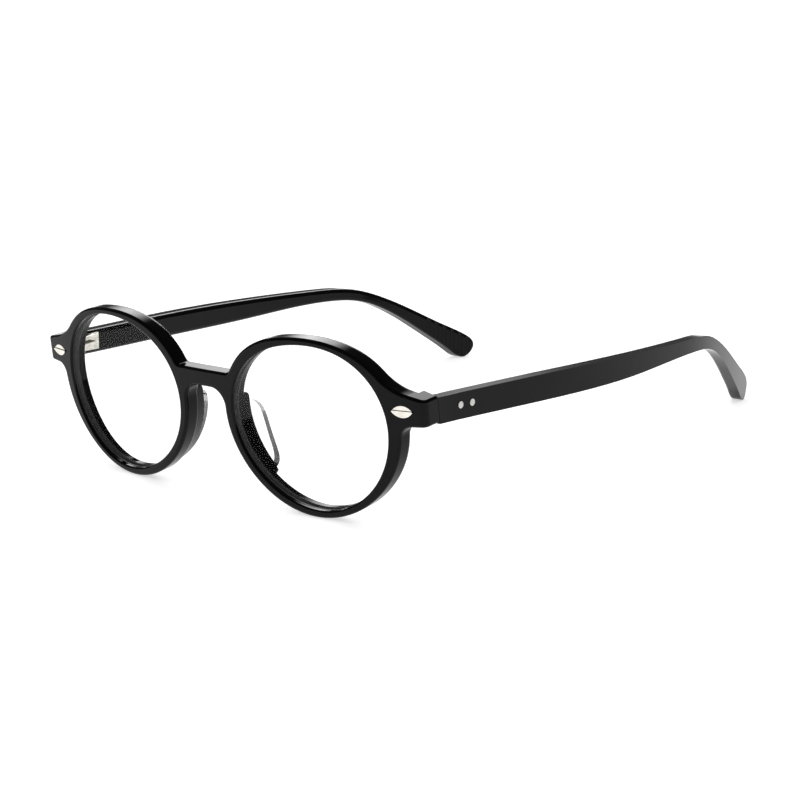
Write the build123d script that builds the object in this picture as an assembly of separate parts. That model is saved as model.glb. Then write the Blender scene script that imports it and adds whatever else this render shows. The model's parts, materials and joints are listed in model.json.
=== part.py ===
from build123d import *
from math import atan2, cos, degrees, radians, sin, sqrt
import os

# Round acetate eyeglasses, millimetres.  X is left/right (the wearer's left is +X), the lenses
# face -Y, the temples run back along +Y and Z is up.
# Everything is drawn upright in the front's own frame: Y = 0 on the front face at the middle of
# the bridge, Z = 0 at the height of the lens centres.  The last step leans it onto a table.

# front plate
front_curve_radius = 342.0      # wrap of the front face, seen from above
front_thickness = 4.3
edge_round = 0.7                # softened outer edges of the front face
rear_round = 1.0
opening_round = 0.4
lens_centre_x = 31.5            # half the distance between the lens centres

# lens opening and rim, as a mean radius with gentle swells around it
opening_radius = 21.0
opening_width_swell = 1.3       # wider than tall
opening_brow_swell = 0.4        # fuller upper corners
opening_nose_swell = -0.25
rim_radius = 23.3
rim_width_swell = 1.8
rim_brow_swell = 0.6
rim_shift_x = 0.2
rim_shift_z = 0.1
outline_points = 24             # spline points around one rim
drum_tolerance = 0.01           # how far an edge may stray and still lie on a face's drum
edge_samples = (0, 0.3, 0.7, 1)     # places along an edge where that is tested

# working sizes of the cutting bodies
overshoot = 1.0                 # how far a cut runs past the surface it starts from
lens_reach = 4.0                # half depth of a lens blank
opening_reach = 12.0            # depth of the opening's cut behind the lens seat
tall_reach = 90.0               # height of bodies that pass the whole front
screw_reach = 14.0
temple_reach = 60.0             # past a temple in every direction
trim_reach = 16.0

# bridge and end pieces
bridge_half_span = 11.0
bridge_corner_x = 7.7           # about where the bridge runs into the rims
bridge_top_z = 10.1
bridge_underside_z = 5.9
bridge_top_round = 1.6
bridge_arch_round = 4.4
end_piece_x = 63.7              # outer side wall
end_piece_root_x = 48.0         # buried inside the rim
end_piece_root_top_z = 12.6
end_piece_root_low_z = 2.2
end_piece_top_z = 9.2
end_piece_low_z = 3.1
end_piece_inner_x = 59.9        # inner wall of the part that wraps back
brow_corner = (54.7, 10.2)      # about where its upper and lower edges meet the rim
cheek_corner = (56.7, 2.1)
end_piece_top_blend = 15.0
end_piece_low_blend = 3.0
end_piece_corner_round = 1.8
joint_y = 10.7                  # where the end piece meets the temple
joint_gap = 0.12

# nose pads: a black root that grows out of the rim and a clear pad bonded behind it
pad_root_front_y = 3.2
pad_root_back_y = 6.5
pad_root_flare = 12.0           # degrees it opens towards the lens as it runs back
pad_root_top_z = 4.3
pad_root_low_z = -15.6
pad_root_top_round = 1.8
pad_root_low_round = 3.0
pad_width = 1.4
pad_flare = 30.0
pad_shape = [(8.6, 0.7), (9.5, -3.6), (9.1, -8.6), (7.9, -12.4)]    # (depth, height)
pad_depth = 9.5
pad_top_z = 2.2
pad_low_z = -13.6

# lenses
lens_thickness = 1.8
lens_front_radius = 262.0
lens_fit = 0.06                 # gap between the lens and its seat
bevel_depth = 0.5
bevel_half_width = 0.7
groove_depth = 0.6
groove_half_width = 0.8

# almond plaques on the end pieces
plaque_x = 58.0
plaque_z = 6.5
plaque_length = 5.4
plaque_height = 2.7
plaque_seat_depth = 0.5
plaque_proud = 0.35
plaque_edge_proud = 0.12
plaque_step_z = 0.2             # the crease, a little above the middle
plaque_step = 0.28
plaque_pin_radius = 0.45
plaque_pin_length = 1.0
plaque_pin_spacing = 2.2
plaque_fit = 0.04

# hinges
hinge_axis_x = 58.2
hinge_axis_y = 11.3
hinge_centre_z = 6.1
barrel_radius = 1.3
barrel_count = 5
barrel_height = 0.84
barrel_gap = 0.06
screw_radius = 0.65
screw_fit = 0.05
screw_head_radius = 1.05
screw_head_height = 0.45
screw_slot_width = 0.3
screw_slot_depth = 0.25
leaf_thickness = 0.8
front_leaf_height = 4.7
temple_leaf_height = 4.4
leaf_sink = 0.42
leaf_fit = 0.04
front_leaf_length = 5.4
front_leaf_offset = 2.1         # its middle, inboard of the hinge axis
anchor_radius = 0.5
anchor_length = 0.8
anchor_spacing = 3.0
temple_leaf_start = 1.6
temple_leaf_length = 7.0
web_thickness = 1.1
arm_start = 0.2
arm_length = 6.2

# temples, drawn from their front end: (distance back, height) and (distance back, sideways)
temple_droop = 7.1              # degrees the temple falls away from the front's own level
temple_stub = 2.0               # drawn past the joint, then trimmed square to the front
temple_rise = 2.8
temple_fall = 3.3
temple_top = [(35, 3.1), (70, 2.85), (97.5, 2.35), (109.5, 1.4), (120.2, -2.0), (130, -6.6),
              (141, -12.3), (148.3, -16.0)]
temple_tip = [(152, -19.8), (148.9, -23.5)]
temple_low = [(143.5, -21.0), (136.5, -15.9), (129.4, -11.0), (121.4, -6.2), (112.6, -2.7),
              (101.5, -1.45), (70, -2.6), (35, -3.2)]
temple_side = [(12, 0.7), (30, 2.4), (62, 4.2), (88, 3.3), (104, 1.35), (120, -2.5),
               (136, -7.3), (156, -13.9)]
temple_turn = 3.3               # degrees the first stretch of the temple opens outward
temple_thickness = 4.0
temple_round = 1.1
rivet_back = [7.3, 11.1]
rivet_radius = 0.8
rivet_proud = 0.06
rivet_fit = 0.04
rivet_length = 2.0
core_radius = 0.7
core_fit = 0.06
core_line = [(14.5, 0, -1.15), (35, 0, 0.6), (70, 0.1, 2.0), (98, 0.3, 0.25), (110, -0.75, -2.0),
             (120.5, -4.2, -4.6), (130, -8.9, -7.4), (142, -16.1, -11.2)]
grip_count = 6
grip_first = 0.865              # as a share of the temple's inner face, front to back
grip_step = 0.018
grip_radius = 0.9
grip_depth = 0.32


# ---------------------------------------------------------------- helpers

def front_depth(x):
    """Depth of the front face at a sideways position."""
    return front_curve_radius - sqrt(front_curve_radius ** 2 - x ** 2)


def swell(radius, width, brow, nose, angle):
    return radius + width * cos(2 * angle) + brow * sin(3 * angle) + nose * cos(3 * angle)


def closed_outline(centre_x, centre_z, radius_at):
    """Closed spline face through points spaced evenly around a centre, drawn flat."""
    points = []
    for step in range(outline_points):
        angle = radians(360.0 * step / outline_points)
        r = radius_at(angle)
        points.append((centre_x + r * cos(angle), centre_z + r * sin(angle)))
    return Sketch() + make_face(Spline(*points, periodic=True))


def opening_outline(grow):
    return closed_outline(0, 0, lambda a: grow + swell(
        opening_radius, opening_width_swell, opening_brow_swell, opening_nose_swell, a))


def rim_outline(grow=0.0):
    return closed_outline(lens_centre_x + rim_shift_x, rim_shift_z, lambda a: grow + swell(
        rim_radius, rim_width_swell, rim_brow_swell, 0, a))


def polygon(points):
    return make_face(Polyline(*points, close=True))


def other_side(shape):
    return mirror(shape, about=Plane.YZ)


def through(sketch, front, back):
    """Straight prism of a flat outline stood up in X-Z, between two depths."""
    return Pos(0, front, 0) * Rot(90, 0, 0) * extrude(sketch, front - back)


def lens_place():
    """Seat of the +X lens: on the middle of the rim, square to it."""
    slope = degrees(atan2(lens_centre_x, front_curve_radius))
    return Pos(lens_centre_x, front_depth(lens_centre_x) + front_thickness / 2, 0) * Rot(0, 0, slope)


# ---------------------------------------------------------------- lenses

def bevelled_disc(grow, peak, half_width):
    rims = [Pos(0, y, 0) * Rot(90, 0, 0) * opening_outline(g)
            for y, g in ((-half_width, grow), (0, peak), (half_width, grow))]
    return loft(rims[:2], ruled=True) + loft(rims[1:], ruled=True)


def make_lens():
    edge_bulge = opening_radius ** 2 / (2 * lens_front_radius)
    front_y = -edge_bulge - lens_thickness / 2
    outer = Pos(0, front_y + lens_front_radius, 0) * Sphere(lens_front_radius)
    inner = Pos(0, front_y + lens_front_radius, 0) * Sphere(lens_front_radius - lens_thickness)
    blank = through(opening_outline(-lens_fit), -lens_reach, lens_reach)
    blank += bevelled_disc(-lens_fit, bevel_depth, bevel_half_width)
    return lens_place() * (blank & (outer - inner))


# ---------------------------------------------------------------- front

def corner_near(sketch, x, z):
    return sketch.vertices().sort_by(lambda v: (v.X - x) ** 2 + (v.Y - z) ** 2)[0]


def front_outline():
    end_piece = polygon([
        (end_piece_root_x, end_piece_root_low_z), (end_piece_x, end_piece_low_z),
        (end_piece_x, end_piece_top_z), (end_piece_root_x, end_piece_root_top_z)])
    half = rim_outline() + end_piece
    half = fillet(corner_near(half, *brow_corner), end_piece_top_blend)
    half = fillet(corner_near(half, *cheek_corner), end_piece_low_blend)
    bridge_height = bridge_top_z - bridge_underside_z
    bridge = Pos(0, bridge_underside_z + bridge_height / 2) * Rectangle(
        2 * bridge_half_span, bridge_height)
    whole = half + other_side(half) + bridge
    for side in (-1, 1):
        for z, blend in ((bridge_top_z, bridge_top_round), (bridge_underside_z, bridge_arch_round)):
            whole = fillet(corner_near(whole, side * bridge_corner_x, z), blend)
    return whole


def make_lens_cut():
    """Opening with its bevel groove, in the lens seat."""
    cut = through(opening_outline(0), -lens_reach, opening_reach)
    return lens_place() * (cut + bevelled_disc(0, groove_depth, groove_half_width))


def between(low_z, high_z):
    """Flat sheet covering the +X nose side of a rim, between two heights."""
    return Pos(lens_centre_x / 4, (low_z + high_z) / 2) * Rectangle(
        lens_centre_x / 2, high_z - low_z)


def slanted(sketch, front, back, flare):
    """Prism of a flat outline between two depths that drifts outward by the flare angle."""
    drift = (sin(radians(flare)), cos(radians(flare)), 0)
    face = Pos(0, front, 0) * Rot(90, 0, 0) * sketch
    return extrude(face, (back - front) / cos(radians(flare)), dir=drift)


def make_pad_root():
    side = polygon([
        (pad_root_front_y, pad_root_low_z), (pad_root_back_y, pad_root_low_z),
        (pad_root_back_y, pad_root_top_z), (pad_root_front_y, pad_root_top_z)])
    side = fillet(corner_near(side, pad_root_back_y, pad_root_top_z), pad_root_top_round)
    side = fillet(corner_near(side, pad_root_back_y, pad_root_low_z), pad_root_low_round)
    root = slanted(rim_outline() & between(pad_root_low_z, pad_root_top_z),
                   pad_root_front_y, pad_root_back_y, pad_root_flare)
    return root & extrude(Plane.YZ * side, lens_centre_x)


def make_nose_pad():
    drift = (pad_root_back_y - pad_root_front_y) * sin(radians(pad_root_flare)) / cos(
        radians(pad_root_flare))
    ring = rim_outline() - rim_outline(-pad_width)
    strip = Pos(drift, 0) * (ring & between(pad_low_z, pad_top_z))
    fin = slanted(strip, pad_root_back_y, pad_depth + overshoot, pad_flare)
    start = (pad_root_back_y, pad_top_z)
    end = (pad_root_back_y, pad_low_z)
    side = make_face(Spline(start, *pad_shape, end) + Line(end, start))
    return fin & extrude(Plane.YZ * side, lens_centre_x)


def on_front(x, z):
    """Square seat on the front face."""
    slope = degrees(atan2(x, front_curve_radius - front_depth(x)))
    return Pos(x, front_depth(x), z) * Rot(0, 0, slope)


def almond(grow):
    half_length = plaque_length / 2 + grow
    half_height = plaque_height / 2 + grow
    return make_face(
        ThreePointArc((-half_length, 0), (0, half_height), (half_length, 0))
        + ThreePointArc((half_length, 0), (0, -half_height), (-half_length, 0)))


def plaque_pins(fit):
    pins = []
    for side in (-1, 1):
        pin = Rot(-90, 0, 0) * Cylinder(plaque_pin_radius + fit, plaque_pin_length + fit,
                                        align=(Align.CENTER, Align.CENTER, Align.MIN))
        pins.append(Pos(side * plaque_pin_spacing / 2, plaque_seat_depth, 0) * pin)
    return pins


def make_plaque():
    reach = plaque_height
    facets = make_face(Polyline(
        (plaque_seat_depth, -reach), (-plaque_edge_proud, -reach),
        (-plaque_proud, plaque_step_z), (plaque_step - plaque_proud, plaque_step_z),
        (-plaque_edge_proud, plaque_step_z + reach), (plaque_seat_depth, plaque_step_z + reach),
        close=True))
    bar = extrude(Plane.YZ * facets, plaque_length, both=True)
    body = bar & through(almond(0), -overshoot, plaque_seat_depth)
    for pin in plaque_pins(0):
        body += pin
    return on_front(plaque_x, plaque_z) * body


def make_plaque_cut():
    cut = through(almond(plaque_fit), -overshoot, plaque_seat_depth)
    for pin in plaque_pins(plaque_fit):
        cut += pin
    return on_front(plaque_x, plaque_z) * cut


def plate_body():
    """Outline prism bent to the wrap, with the end pieces carried back to the joints."""
    front_drum = Pos(0, front_curve_radius, 0) * Cylinder(front_curve_radius, tall_reach)
    rear_drum = Pos(0, front_curve_radius, 0) * Cylinder(
        front_curve_radius - front_thickness, tall_reach)
    wrap = end_piece_x - end_piece_inner_x
    block = Pos(end_piece_inner_x + wrap, (joint_y - joint_gap) / 2, 0) * Box(
        2 * wrap, joint_y - joint_gap, tall_reach)
    hollow = rear_drum - block - other_side(block)
    return (through(front_outline(), -overshoot, joint_y + overshoot) & front_drum) - hollow


def edges_on_drum(body, radius):
    """Edges that lie on the round drum of that radius which the front is bent to."""
    def offset(point):
        return abs(sqrt(point.X ** 2 + (point.Y - front_curve_radius) ** 2) - radius)

    return body.edges().filter_by(
        lambda edge: max(offset(edge @ share) for share in edge_samples) < drum_tolerance)


def soften_front(body):
    """Round the outer corners, then the outer edges of the front face and of the rear face."""
    corners = body.edges().filter_by(Axis.Z).group_by(Axis.Y)[0]
    body = fillet(corners, end_piece_corner_round)
    body = fillet(edges_on_drum(body, front_curve_radius), edge_round)
    rear = edges_on_drum(body, front_curve_radius - front_thickness).filter_by(
        lambda edge: abs((edge @ 0.5).X) < end_piece_inner_x - end_piece_low_blend / 2)
    return fillet(rear, rear_round)


def make_front():
    body = soften_front(plate_body())
    root = make_pad_root()
    body = body + root + other_side(root)
    for cut in (make_lens_cut(), make_plaque_cut(), front_leaf_seat()):
        body = body - cut - other_side(cut)
    openings = edges_on_drum(body, front_curve_radius).sort_by(Edge.length)[-2:]
    return fillet(openings, opening_round)


# ---------------------------------------------------------------- hinges

def front_leaf_place():
    """Rear face of the +X end piece, square to it, where the hinge leaf is sunk."""
    x = hinge_axis_x - front_leaf_offset
    slope = degrees(atan2(x, front_curve_radius))
    y = front_curve_radius - sqrt((front_curve_radius - front_thickness) ** 2 - x ** 2)
    return Pos(x, y, hinge_centre_z) * Rot(0, 0, slope)


def front_leaf_base(fit):
    """Base plate and its anchor pegs, grown by the fit all round."""
    base = Pos(0, leaf_thickness / 2 - leaf_sink, 0) * Box(
        front_leaf_length + 2 * fit, leaf_thickness + 2 * fit, front_leaf_height + 2 * fit)
    for side in (-1, 1):
        peg = Rot(90, 0, 0) * Cylinder(anchor_radius + fit, anchor_length + fit,
                                       align=(Align.CENTER, Align.CENTER, Align.MIN))
        base += Pos(side * anchor_spacing / 2, -leaf_sink, 0) * peg
    return front_leaf_place() * base


def front_leaf_seat():
    return front_leaf_base(leaf_fit)


def barrel_levels(first):
    pitch = barrel_height + barrel_gap
    bottom = hinge_centre_z - pitch * (barrel_count - 1) / 2
    return [bottom + pitch * index for index in range(first, barrel_count, 2)]


def barrel(level):
    return Pos(hinge_axis_x, hinge_axis_y, level) * Cylinder(barrel_radius, barrel_height)


def screw_hole():
    return Pos(hinge_axis_x, hinge_axis_y, hinge_centre_z) * Cylinder(
        screw_radius + screw_fit, screw_reach)


def make_front_leaf():
    leaf = front_leaf_base(0)
    base_y = front_leaf_place().position.Y
    for level in barrel_levels(0):
        web = Pos(hinge_axis_x, (base_y + hinge_axis_y) / 2, level) * Box(
            web_thickness, hinge_axis_y - base_y, barrel_height)
        leaf += barrel(level) + web
    return leaf - screw_hole()


def make_screw():
    half = (barrel_count * barrel_height + (barrel_count - 1) * barrel_gap) / 2
    top = hinge_centre_z + half
    grounded = (Align.CENTER, Align.CENTER, Align.MIN)
    shank = Pos(0, 0, top - 2 * half) * Cylinder(screw_radius, 2 * half, align=grounded)
    head = Pos(0, 0, top) * Cylinder(screw_head_radius, screw_head_height, align=grounded)
    slot = Pos(0, 0, top + screw_head_height - screw_slot_depth) * Box(
        2 * screw_head_radius, screw_slot_width, screw_slot_depth, align=grounded)
    return Pos(hinge_axis_x, hinge_axis_y, 0) * (shank + head - slot)


def temple_place():
    """Front end of the +X temple, at its outer face."""
    return Pos(end_piece_x, joint_y, hinge_centre_z) * Rot(-temple_droop, 0, 0)


def leaf_place():
    """Inner face of the +X temple at its front end."""
    return temple_place() * Pos(-temple_thickness, 0, 0) * Rot(0, 0, -temple_turn)


def temple_leaf_plate(fit):
    """Plate sunk in the temple's inner face and its anchor pegs, grown by the fit all round."""
    middle = temple_leaf_start + temple_leaf_length / 2
    plate = Pos(leaf_sink - leaf_thickness / 2, middle, 0) * Box(
        leaf_thickness + 2 * fit, temple_leaf_length + 2 * fit, temple_leaf_height + 2 * fit)
    for side in (-1, 1):
        peg = Rot(0, 90, 0) * Cylinder(anchor_radius + fit, anchor_length + fit,
                                       align=(Align.CENTER, Align.CENTER, Align.MIN))
        plate += Pos(leaf_sink, middle + side * anchor_spacing / 2, 0) * peg
    return leaf_place() * plate


def rivet(back, fit):
    """Round pin let into the temple's outer face from outside."""
    grounded = (Align.CENTER, Align.CENTER, Align.MAX)
    return leaf_place() * Pos(temple_thickness + rivet_proud, back, 0) * Rot(0, 90, 0) * Cylinder(
        rivet_radius + fit, rivet_length + fit, align=grounded)


def make_temple_leaf():
    leaf = temple_leaf_plate(0)
    inner_x = end_piece_x - temple_thickness
    for level in barrel_levels(1):
        arm = Pos((hinge_axis_x + inner_x) / 2, joint_y + arm_start + arm_length / 2, level) * Box(
            inner_x - hinge_axis_x, arm_length, barrel_height)
        leaf += barrel(level) + arm
    return leaf - screw_hole()


# ---------------------------------------------------------------- temples

def temple_inner_line():
    return Spline((-temple_thickness, -temple_stub), (-temple_thickness, 0),
                  *[(side - temple_thickness, back) for back, side in temple_side])


def temple_blank():
    start, end = (-temple_stub, temple_rise), (-temple_stub, -temple_fall)
    rim = Spline(start, (0, temple_rise), *temple_top, *temple_tip, *temple_low,
                 (0, -temple_fall), end)
    side = extrude(Plane.YZ * make_face(rim + Line(end, start)), temple_reach, both=True)
    outer = Spline((0, -temple_stub), (0, 0), *[(side, back) for back, side in temple_side])
    inner = temple_inner_line()
    plan = make_face(outer + inner + Line(outer @ 0, inner @ 0) + Line(outer @ 1, inner @ 1))
    blank = side & extrude(plan, temple_reach, both=True)
    long_edges = blank.edges().sort_by(Edge.length)[-2:]
    return fillet(long_edges, temple_round)


def core_rod(radius):
    path = Spline(*[(side, back, height) for back, height, side in core_line])
    return sweep(Plane(path @ 0, z_dir=path % 0) * Circle(radius), path)


def grip_cuts():
    line = temple_inner_line()
    cuts = []
    for step in range(grip_count):
        share = grip_first + step * grip_step
        spot, run = line @ share, line % share
        sink = grip_radius - grip_depth
        cuts.append(Pos(spot.X - sink * run.Y, spot.Y + sink * run.X, 0)
                    * Cylinder(grip_radius, 2 * temple_reach))
    return cuts


def make_temple():
    body = temple_blank() - core_rod(core_radius + core_fit)
    for cut in grip_cuts():
        body -= cut
    body = temple_place() * body
    body -= Pos(end_piece_x, joint_y - trim_reach / 2, hinge_centre_z) * Box(
        trim_reach, trim_reach, trim_reach)
    body -= temple_leaf_plate(leaf_fit)
    for back in rivet_back:
        body -= rivet(back, rivet_fit)
    return body


def make_core():
    return temple_place() * core_rod(core_radius)


# ---------------------------------------------------------------- whole object

def all_parts():
    parts = {"front_frame": make_front()}
    left = {
        "lens": make_lens(), "nose_pad": make_nose_pad(), "plaque": make_plaque(),
        "hinge_front_leaf": make_front_leaf(), "hinge_temple_leaf": make_temple_leaf(),
        "hinge_screw": make_screw(), "temple": make_temple(), "temple_core": make_core()}
    for name, back in zip(("temple_rivet_front", "temple_rivet_rear"), rivet_back):
        left[name] = rivet(back, 0)
    for name, shape in left.items():
        parts[name + "_left"] = shape
        parts[name + "_right"] = other_side(shape)
    return parts


def resting_lean(front, temple):
    """Lean that puts the rims and the temple tips on one level table."""
    lean = 0.0
    span = temple.bounding_box().max.Y
    for _ in range(4):
        low_front = (Rot(lean, 0, 0) * front).bounding_box().min.Z
        low_tip = (Rot(lean, 0, 0) * temple).bounding_box().min.Z
        lean += degrees(atan2(low_front - low_tip, span))
    return lean


def rest_place(parts):
    lean = Rot(resting_lean(parts["front_frame"], parts["temple_left"]), 0, 0)
    boxes = [(lean * shape).bounding_box() for shape in parts.values()]
    front_y = min(box.min.Y for box in boxes)
    back_y = max(box.max.Y for box in boxes)
    low_z = min(box.min.Z for box in boxes)
    return Pos(0, -(front_y + back_y) / 2, -low_z) * lean


def main():
    os.makedirs("parts", exist_ok=True)
    parts = all_parts()
    place = rest_place(parts)
    for name, shape in parts.items():
        solid = (place * shape).solid()
        solid.label = name
        export_step(solid, f"parts/{name}.step")


main()
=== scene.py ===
import json
from math import radians

import bpy
from mathutils import Matrix, Vector

# Round acetate eyeglasses resting open on a pale table, in metres, in the CAD's own frame:
# +X is the wearer's left, the lenses face -Y and the temples run back along +Y.

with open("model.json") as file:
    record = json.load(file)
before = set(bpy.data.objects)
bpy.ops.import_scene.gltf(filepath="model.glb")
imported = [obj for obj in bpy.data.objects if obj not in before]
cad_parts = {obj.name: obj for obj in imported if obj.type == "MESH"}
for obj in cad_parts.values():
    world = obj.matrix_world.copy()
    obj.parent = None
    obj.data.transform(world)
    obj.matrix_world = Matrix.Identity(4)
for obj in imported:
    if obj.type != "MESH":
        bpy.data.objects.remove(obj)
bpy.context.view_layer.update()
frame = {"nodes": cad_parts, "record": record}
nodes = frame["nodes"]
MM = 0.001

# Camera: seen from the wearer's left, a little above, close up.
CAMERA_PLACE = Vector((0.32483, -0.38178, 0.12929))
CAMERA_RIGHT = Vector((0.75697, 0.65292, -0.02622))
CAMERA_UP = Vector((-0.13394, 0.19431, 0.97175))
CAMERA_LENS = 86.16             # mm, on a sensor this wide:
CAMERA_SENSOR = 36.0
CAMERA_CLIP = (0.01, 50)

FLOOR_HALF = 60.0
FLOOR_GREY = 0.93
FLOOR_ROUGHNESS = 0.9
FLOOR_SPECULAR = 0.1
FLOOR_GLOW = 0.62               # a lit table top, as under a product shot
FLOOR_DROP = 0.02 * MM          # so that the table doesn't touch what rests on it
# Brightness of the surroundings, as (sine of the height above the horizon, brightness)
SKY = ((-1.0, 0.9), (-0.02, 0.8), (0.03, 0.35), (0.10, 0.12), (0.42, 0.10), (1.0, 0.08))
GLOW_WAY = (-0.57, 0.67, 0.47)  # a large soft light behind the glasses, seen in the gloss
GLOW_COSINES = (0.935, 0.992)   # it fades out between these
GLOW_STRENGTH = 5.5
GLOW_FADE_POWER = 2.0
CEILING_STRENGTH = 1.4
CEILING_ANGLE = 120             # degrees across, for very soft shadows

ACETATE_IOR = 1.22              # low, for the dark faces of the photo
LENS_EDGE_COSINE = 0.9          # the faces of a lens lie within 26 degrees of straight ahead
PAD_EDGE_COSINE = 0.25          # the faces of a nose pad look mostly sideways
EDGE_IOR = 1.25
CLEAR_SLOTS = ("demo_lens", "clear_pad")
RAMP_STOPS = (0.35, 0.65)       # a noise stays mostly between these
ALONG_X = (0.1, 1, 1)           # which way the polishing lines run
ALONG_Y = (1, 0.1, 1)
METALS = {  # light colour, dark colour, roughness from and to, way of the lines, their height in mm
    "plaque_metal": ((0.84, 0.81, 0.74, 1), (0.72, 0.69, 0.62, 1), 0.12, 0.2, ALONG_X, 0.0008),
    "hinge_metal": ((0.74, 0.72, 0.66, 1), (0.52, 0.50, 0.45, 1), 0.22, 0.34, ALONG_Y, 0.0015),
    "rivet_metal": ((0.52, 0.51, 0.49, 1), (0.40, 0.39, 0.37, 1), 0.2, 0.3, ALONG_Y, 0.001),
    "screw_steel": ((0.66, 0.66, 0.66, 1), (0.45, 0.45, 0.45, 1), 0.22, 0.36, ALONG_Y, 0.0012),
    "core_wire": ((0.7, 0.7, 0.7, 1), (0.5, 0.5, 0.5, 1), 0.25, 0.4, ALONG_Y, 0.0015),
}

# ---------------------------------------------------------------- node helpers

def new_material(name):
    material = bpy.data.materials.new(name)
    material.use_nodes = True
    return material, material.node_tree.nodes, material.node_tree.links


def noise(tree_nodes, links, scale_per_mm, detail=3.0, stretch=(1, 1, 1)):
    """Noise in object space with its grain given in cycles per millimetre."""
    place = tree_nodes.new("ShaderNodeTexCoord")
    mapping = tree_nodes.new("ShaderNodeMapping")
    mapping.inputs["Scale"].default_value = stretch
    texture = tree_nodes.new("ShaderNodeTexNoise")
    texture.inputs["Scale"].default_value = scale_per_mm / MM
    texture.inputs["Detail"].default_value = detail
    links.new(place.outputs["Object"], mapping.inputs["Vector"])
    links.new(mapping.outputs["Vector"], texture.inputs["Vector"])
    return texture.outputs["Fac"]


def ramp(tree_nodes, links, source, low, high):
    """Maps a noise onto a range between two greys or two colours."""
    node = tree_nodes.new("ShaderNodeValToRGB")
    for element, stop, value in zip(node.color_ramp.elements, RAMP_STOPS, (low, high)):
        element.position = stop
        element.color = value if isinstance(value, tuple) else (value, value, value, 1)
    links.new(source, node.inputs["Fac"])
    return node.outputs["Color"]


def bump(tree_nodes, links, shader, source, height_mm):
    node = tree_nodes.new("ShaderNodeBump")
    node.inputs["Distance"].default_value = height_mm * MM
    links.new(source, node.inputs["Height"])
    links.new(node.outputs["Normal"], shader.inputs["Normal"])


# ---------------------------------------------------------------- materials

def acetate_material():
    """Tumble-polished black cellulose acetate: faint clouds, patchy gloss, soft polish ripple."""
    material, tree, links = new_material("black_acetate")
    shader = tree["Principled BSDF"]
    shader.inputs["IOR"].default_value = ACETATE_IOR
    cloud = noise(tree, links, scale_per_mm=0.15, detail=4)
    links.new(ramp(tree, links, cloud, (0.0010, 0.0011, 0.0013, 1), (0.0024, 0.0025, 0.0030, 1)),
              shader.inputs["Base Color"])
    haze = noise(tree, links, scale_per_mm=0.5, detail=5)
    links.new(ramp(tree, links, haze, 0.035, 0.075), shader.inputs["Roughness"])
    ripple = noise(tree, links, scale_per_mm=0.16, detail=1)
    bump(tree, links, shader, ripple, height_mm=0.006)
    return material


def clear_material(name, tint, share_reflected, rough_low, rough_high):
    """Thin coated glass or plastic: seen straight through, with a faint smeared reflection."""
    material, tree, links = new_material(name)
    tree.remove(tree["Principled BSDF"])
    through = tree.new("ShaderNodeBsdfTransparent")
    patch = noise(tree, links, scale_per_mm=0.08)
    links.new(ramp(tree, links, patch, tint, (1, 1, 1, 1)), through.inputs["Color"])
    gloss = tree.new("ShaderNodeBsdfGlossy")
    smear = noise(tree, links, scale_per_mm=0.3)
    links.new(ramp(tree, links, smear, rough_low, rough_high), gloss.inputs["Roughness"])
    faces = tree.new("ShaderNodeMixShader")
    faces.name = "Faces"
    faces.inputs["Fac"].default_value = share_reflected
    links.new(through.outputs["BSDF"], faces.inputs[1])
    links.new(gloss.outputs["BSDF"], faces.inputs[2])
    return material


def shade_painted_edge(material, axis, cosine, grey_low, grey_high, roughness, clear):
    """The edge of a clear piece, where its surface turns well away from the axis of its faces,
    painted dark grey: painted shade of the black groove and rim seen around and through it.
    """
    tree, links = material.node_tree.nodes, material.node_tree.links
    place = tree.new("ShaderNodeTexCoord")
    facing = tree.new("ShaderNodeVectorMath")
    facing.operation = "DOT_PRODUCT"
    facing.inputs[1].default_value = axis
    links.new(place.outputs["Normal"], facing.inputs[0])
    turned = tree.new("ShaderNodeMath")
    turned.operation = "ABSOLUTE"
    links.new(facing.outputs["Value"], turned.inputs[0])
    is_edge = tree.new("ShaderNodeMath")
    is_edge.operation = "LESS_THAN"
    is_edge.inputs[1].default_value = cosine
    links.new(turned.outputs["Value"], is_edge.inputs[0])
    # painted shade: the edge faces get a dark grey surface of their own instead of the clear one
    edge = tree.new("ShaderNodeBsdfPrincipled")
    grain = noise(tree, links, scale_per_mm=2.0, detail=3)
    # the painted shade's dark grey, with a faint random grain
    links.new(ramp(tree, links, grain, grey_low, grey_high), edge.inputs["Base Color"])
    edge.inputs["Roughness"].default_value = roughness
    edge.inputs["Transmission Weight"].default_value = clear
    edge.inputs["IOR"].default_value = EDGE_IOR
    bump(tree, links, edge, grain, height_mm=0.001)
    mix = tree.new("ShaderNodeMixShader")
    links.new(is_edge.outputs["Value"], mix.inputs["Fac"])
    links.new(tree["Faces"].outputs["Shader"], mix.inputs[1])
    links.new(edge.outputs["BSDF"], mix.inputs[2])
    links.new(mix.outputs["Shader"], tree["Material Output"].inputs["Surface"])
    return material


def metal_material(name, colour, shade, rough_low, rough_high, stretch, line_mm):
    """Nickel silver or steel with the fine lines left by polishing."""
    material, tree, links = new_material(name)
    shader = tree["Principled BSDF"]
    shader.inputs["Metallic"].default_value = 1.0
    patch = noise(tree, links, scale_per_mm=0.8, detail=3)
    links.new(ramp(tree, links, patch, shade, colour), shader.inputs["Base Color"])
    lines = noise(tree, links, scale_per_mm=9.0, detail=4, stretch=stretch)
    links.new(ramp(tree, links, lines, rough_low, rough_high), shader.inputs["Roughness"])
    bump(tree, links, shader, lines, line_mm)
    return material


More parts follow.
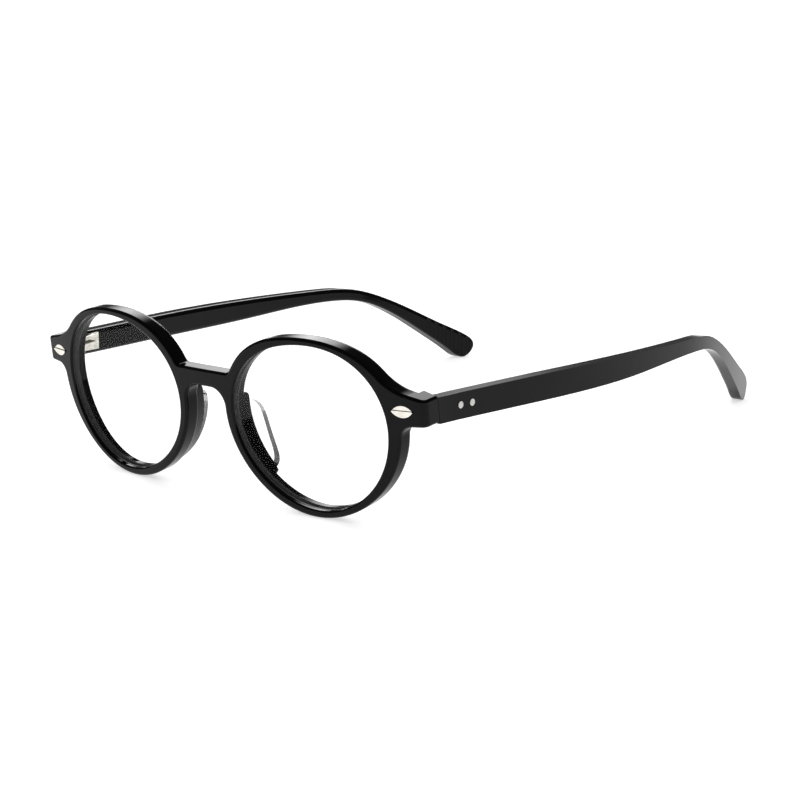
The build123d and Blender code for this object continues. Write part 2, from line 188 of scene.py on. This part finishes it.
def make_materials():
    materials = {"black_acetate": acetate_material()}
    lens = clear_material("demo_lens", (0.985, 0.99, 0.99, 1), share_reflected=0.005,
                          rough_low=0.01, rough_high=0.03)
    # the lens edge is painted dark grey and opaque, as painted shade of the black groove it sits in
    materials["demo_lens"] = shade_painted_edge(lens, (0, 1, 0), LENS_EDGE_COSINE, grey_low=0.03,
                                   grey_high=0.06, roughness=0.35, clear=0.0)
    pad = clear_material("clear_pad", (0.97, 0.975, 0.97, 1), share_reflected=0.02,
                         rough_low=0.02, rough_high=0.06)
    # the pad edge is painted dark grey and partly see-through, as painted shade of the black rim
    # behind it
    materials["clear_pad"] = shade_painted_edge(pad, (1, 0, 0), PAD_EDGE_COSINE, grey_low=0.03,
                                   grey_high=0.07, roughness=0.03, clear=0.45)
    for name, look in METALS.items():
        materials[name] = metal_material(name, *look)
    return materials


def paint(materials):
    slots = {row["node"]: row["material_slot"] for row in frame["record"]["subparts"]}
    for name, obj in nodes.items():
        obj.data.materials.clear()
        obj.data.materials.append(materials[slots[name]])
        if slots[name] in CLEAR_SLOTS:
            obj.visible_shadow = False


# ---------------------------------------------------------------- studio

def make_floor():
    mesh = bpy.data.meshes.new("table_top")
    corners = [(x * FLOOR_HALF, y * FLOOR_HALF, -FLOOR_DROP)
               for x, y in ((-1, -1), (1, -1), (1, 1), (-1, 1))]
    mesh.from_pydata(corners, [], [(0, 1, 2, 3)])
    floor = bpy.data.objects.new("table_top", mesh)
    bpy.context.scene.collection.objects.link(floor)
    material, tree, _ = new_material("pale_table")
    shader = tree["Principled BSDF"]
    shader.inputs["Base Color"].default_value = (FLOOR_GREY, FLOOR_GREY, FLOOR_GREY, 1)
    shader.inputs["Roughness"].default_value = FLOOR_ROUGHNESS
    shader.inputs["Specular IOR Level"].default_value = FLOOR_SPECULAR
    shader.inputs["Emission Color"].default_value = (1, 1, 1, 1)
    shader.inputs["Emission Strength"].default_value = FLOOR_GLOW
    mesh.materials.append(material)


def make_ceiling():
    """Even overhead light with very soft shadows, kept out of the reflections."""
    data = bpy.data.lights.new("ceiling", "SUN")
    data.energy = CEILING_STRENGTH
    data.angle = radians(CEILING_ANGLE)
    light = bpy.data.objects.new("ceiling", data)
    bpy.context.scene.collection.objects.link(light)
    light.visible_glossy = False


def make_world():
    """White behind the glasses; in the gloss, dark above the horizon but for one soft glow."""
    world = bpy.data.worlds.new("studio")
    bpy.context.scene.world = world
    world.use_nodes = True
    tree, links = world.node_tree.nodes, world.node_tree.links
    background = tree["Background"]
    place = tree.new("ShaderNodeTexCoord")
    split = tree.new("ShaderNodeSeparateXYZ")
    links.new(place.outputs["Generated"], split.inputs["Vector"])
    height = tree.new("ShaderNodeMapRange")
    height.inputs["From Min"].default_value = -1.0
    links.new(split.outputs["Z"], height.inputs["Value"])
    shade_ramp = tree.new("ShaderNodeValToRGB")
    stops = shade_ramp.color_ramp.elements
    while len(stops) < len(SKY):
        stops.new(0.5)
    for stop, (sine, level) in zip(stops, SKY):
        stop.position = (sine + 1) / 2
        stop.color = (level, level, level, 1)
    links.new(height.outputs["Result"], shade_ramp.inputs["Fac"])
    links.new(shade_ramp.outputs["Color"], background.inputs["Color"])

    toward = tree.new("ShaderNodeVectorMath")
    toward.operation = "DOT_PRODUCT"
    toward.inputs[1].default_value = Vector(GLOW_WAY).normalized()
    links.new(place.outputs["Generated"], toward.inputs[0])
    near = tree.new("ShaderNodeMapRange")
    near.inputs["From Min"].default_value, near.inputs["From Max"].default_value = GLOW_COSINES
    links.new(toward.outputs["Value"], near.inputs["Value"])
    fade = tree.new("ShaderNodeMath")
    fade.operation = "POWER"
    fade.inputs[1].default_value = GLOW_FADE_POWER
    links.new(near.outputs["Result"], fade.inputs[0])
    strength = tree.new("ShaderNodeMath")
    strength.operation = "MULTIPLY"
    strength.inputs[1].default_value = GLOW_STRENGTH
    links.new(fade.outputs["Value"], strength.inputs[0])
    glow = tree.new("ShaderNodeBackground")
    glow.inputs["Color"].default_value = (1, 1, 1, 1)
    links.new(strength.outputs["Value"], glow.inputs["Strength"])
    both = tree.new("ShaderNodeAddShader")
    links.new(background.outputs["Background"], both.inputs[0])
    links.new(glow.outputs["Background"], both.inputs[1])

    backdrop = tree.new("ShaderNodeBackground")
    backdrop.inputs["Color"].default_value = (1, 1, 1, 1)
    path = tree.new("ShaderNodeLightPath")
    mix = tree.new("ShaderNodeMixShader")
    links.new(path.outputs["Is Camera Ray"], mix.inputs["Fac"])
    links.new(both.outputs["Shader"], mix.inputs[1])
    links.new(backdrop.outputs["Background"], mix.inputs[2])
    links.new(mix.outputs["Shader"], tree["World Output"].inputs["Surface"])


def make_camera():
    data = bpy.data.cameras.new("camera")
    data.lens = CAMERA_LENS
    data.sensor_width = CAMERA_SENSOR
    camera = bpy.data.objects.new("camera", data)
    bpy.context.scene.collection.objects.link(camera)
    back = CAMERA_RIGHT.cross(CAMERA_UP).normalized()
    turn = Matrix((CAMERA_RIGHT, CAMERA_UP, back)).transposed().to_4x4()
    camera.matrix_world = Matrix.Translation(CAMERA_PLACE) @ turn
    data.clip_start, data.clip_end = CAMERA_CLIP
    bpy.context.scene.camera = camera


bpy.context.scene.view_settings.view_transform = "Standard"
paint(make_materials())
make_floor()
make_world()
make_ceiling()
make_camera()
